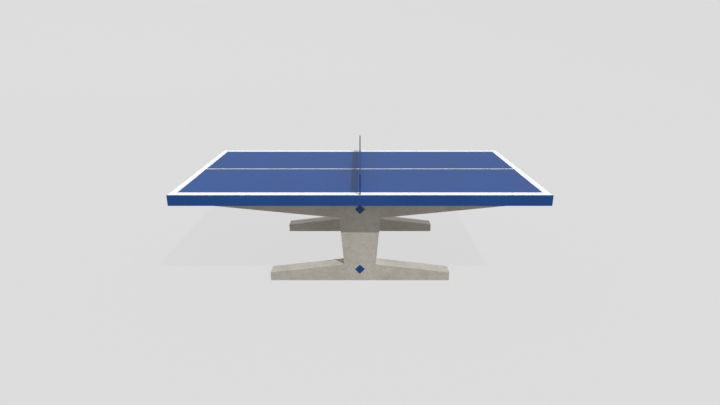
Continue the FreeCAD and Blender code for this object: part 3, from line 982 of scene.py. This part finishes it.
def tie_caps(node, side):
    """Moulded caps: a crowned square on its corner with rounded edges, and a round skirt."""
    solid = Solid()
    for low, high in solids_of(node):
        z = (low.z + high.z) / 2
        face = side * min(abs(corner.y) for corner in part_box(node)) + side * CAP_SKIRT_LENGTH
        proud = max(abs(low.y), abs(high.y)) - abs(face)
        corners = square_on_corner((high.x - low.x) / 2, 0.0, z)
        rows = [(0.0, 0.0, 0.0)]
        for k in range(RIM_STEPS + 1):
            angle = math.pi / 2 * k / RIM_STEPS
            level = proud - CAP_CROWN - CAP_EDGE * (1 - math.sin(angle))
            rows.append((CAP_EDGE * (1 - math.cos(angle)), level, 1.0))
        half_side = min(high.x - low.x, high.z - low.z) / 2 / math.sqrt(2)
        for k in range(1, CROWN_RINGS + 1):
            share = k / CROWN_RINGS
            reach = CAP_EDGE + (half_side - 2 * CAP_EDGE) * share * CROWN_REACH
            rows.append((reach, proud - CAP_CROWN * (1 - share) ** 2, 0.0))
        rings = []
        for shrink, level, _ in rows:
            loop = shrunk(corners, [CAP_CORNER] * 4, shrink)
            rings.append([on_xz(u, v, face + side * level) for u, v in loop])
        solid.join_rings(rings, [wear for _, _, wear in rows])
        for ring in (rings[0], rings[-1]):
            points, triangles = fill([(p.x, p.z) for p in ring])
            solid.extend([on_xz(u, v, ring[0].y) for u, v in points], triangles)
        tip = CAP_SKIRT_LENGTH
        profile = ((CAP_SKIRT_INNER, -OVERLAP), (CAP_SKIRT_OUTER, -OVERLAP))
        profile += ((CAP_SKIRT_OUTER, tip - SKIRT_LEAD_LENGTH), (CAP_SKIRT_OUTER - SKIRT_LEAD, tip))
        profile += ((CAP_SKIRT_INNER, tip),)
        solid.revolve(profile, ROUND_SEGMENTS, Vector((0.0, face, z)), Y_AXIS * -side, closed=True)
    put_for(node, solid.mesh(node + "_moulded"))


def bearing_pads():
    """Rubber pads, squeezed so that their sides swell slightly."""
    solid = Solid()
    for low, high in solids_of("bearing_pads"):
        middle = (low + high) / 2
        corners = rounded(rectangle((low.x, low.y), (high.x, high.y)), PAD_CORNER)
        hole = circle(middle.x, middle.y, PAD_HOLE_RADIUS)
        height = high.z - low.z
        rings = []
        for k in range(PAD_ROWS + 1):
            share = k / PAD_ROWS
            swell = PAD_BULGE * (2 * math.sin(math.pi * share) - 1)
            level = low.z + height * share
            rings.append([on_xy(u, v, level) for u, v in inset(corners, -swell)])
        solid.join_rings(rings)
        solid.join_rings([[on_xy(u, v, z) for u, v in hole] for z in (low.z, high.z)])
        points, triangles = fill(inset(corners, PAD_BULGE), [hole])
        for z in (low.z, high.z):
            solid.extend([on_xy(u, v, z) for u, v in points], triangles)
    put_for("bearing_pads", solid.mesh("bearing_pads_pressed"), 60.0)


def make_pieces():
    leg_frame("front_leg_frame", -1)
    leg_frame("rear_leg_frame", 1)
    net_plate()
    net_legs()
    slab_bolts()
    slab_bolt_washers()
    tie_tube("lower_tie_tube")
    tie_tube("upper_tie_tube")
    tie_end_plates()
    tie_nuts()
    tie_washers()
    tie_caps("front_tie_caps", -1)
    tie_caps("rear_tie_caps", 1)
    bearing_pads()


# Stage

def bowl(name, drop, rim_height):
    """Flat ground that curves up into a rim all round, drop below the feet."""
    profile = [(radius, 0.0) for radius in (*FLOOR_RINGS, FLOOR_RADIUS)]
    for i in range(1, RIM_ROWS + 1):
        angle = math.pi / 2 * i / RIM_ROWS
        run = (FLOOR_RIM_RADIUS - FLOOR_RADIUS) * math.sin(angle)
        profile.append((FLOOR_RADIUS + run, rim_height * (1 - math.cos(angle))))
    solid = Solid()
    solid.revolve(profile, FLOOR_SEGMENTS, Vector((0, 0, -drop)), Z_AXIS)
    ground = shown_object(solid.mesh(name), 180.0)
    return ground


def floor():
    """Pale floor for the picture, and a darker one that throws light up as paving does."""
    shown = bowl("floor", 0.0, FLOOR_RIM_HEIGHT)
    material, tree, shader, _ = start_material("floor")
    set_shader(tree, shader, Base_Color=(FLOOR_COLOUR,) * 3, Roughness=0.95, Specular_IOR_Level=0.0)
    glow = add(tree, "ShaderNodeEmission", {0: (1, 1, 1, 1), 1: FLOOR_GLOW})
    mix = add(tree, "ShaderNodeMixShader", {0: FLOOR_GLOW_SHARE, 1: shader.outputs[0], 2: glow.outputs[0]})
    tree.links.new(mix.outputs[0], tree.nodes["Material Output"].inputs["Surface"])
    shown.data.materials.append(material)
    shown.visible_diffuse = False
    shown.visible_glossy = False
    shown.visible_shadow = False
    paving = bowl("paving", PAVING_DROP, PAVING_RIM_HEIGHT)
    material, tree, shader, _ = start_material("paving")
    set_shader(tree, shader, Base_Color=(PAVING_COLOUR,) * 3, Roughness=0.95, Specular_IOR_Level=0.0)
    set_shader(tree, shader, Emission_Color=PAVING_GLOW_COLOUR, Emission_Strength=PAVING_GLOW)
    paving.data.materials.append(material)
    paving.visible_camera = False


def distant_light(name, direction, strength, shadow):
    """Even light that comes from a direction."""
    lamp = bpy.data.objects.new(name, bpy.data.lights.new(name, "SUN"))
    lamp.data.energy = strength
    lamp.data.angle = math.radians(SUN_ANGLE)
    lamp.data.use_shadow = shadow
    lamp.rotation_mode = "QUATERNION"
    lamp.rotation_quaternion = direction.to_track_quat("Z", "Y")
    bpy.context.scene.collection.objects.link(lamp)


def light():
    """Sun, a pale sky that is brighter towards the rear, and soft fills that reach under the top."""
    distant_light("sun", SUN_DIRECTION, SUN_STRENGTH, True)
    for index, (direction, strength) in enumerate(FILLS):
        distant_light(f"fill_{index}", direction, strength, False)
    world = bpy.data.worlds.new("sky")
    world.use_nodes = True
    tree = world.node_tree
    direction = add(tree, "ShaderNodeTexCoord").outputs["Generated"]
    rearward = add(tree, "ShaderNodeSeparateXYZ", {0: direction}).outputs["Y"]
    sky = tree.nodes["Background"]
    sky.inputs["Color"].default_value = SKY_COLOUR
    tree.links.new(spread(tree, rearward, -1.0, 1.0, SKY_FRONT, SKY_REAR), sky.inputs["Strength"])
    bpy.context.scene.world = world
    bpy.context.scene.view_settings.view_transform = "Standard"


def camera():
    eye = bpy.data.objects.new("camera", bpy.data.cameras.new("camera"))
    eye.location = (0.0, -CAMERA_BACK, CAMERA_HEIGHT)
    eye.rotation_euler = (math.radians(90 - CAMERA_PITCH), 0.0, 0.0)
    eye.data.lens = CAMERA_LENS
    eye.data.sensor_width = SENSOR_WIDTH
    bpy.context.scene.collection.objects.link(eye)
    bpy.context.scene.camera = eye


dress_nodes()
make_pieces()
floor()
light()
camera()
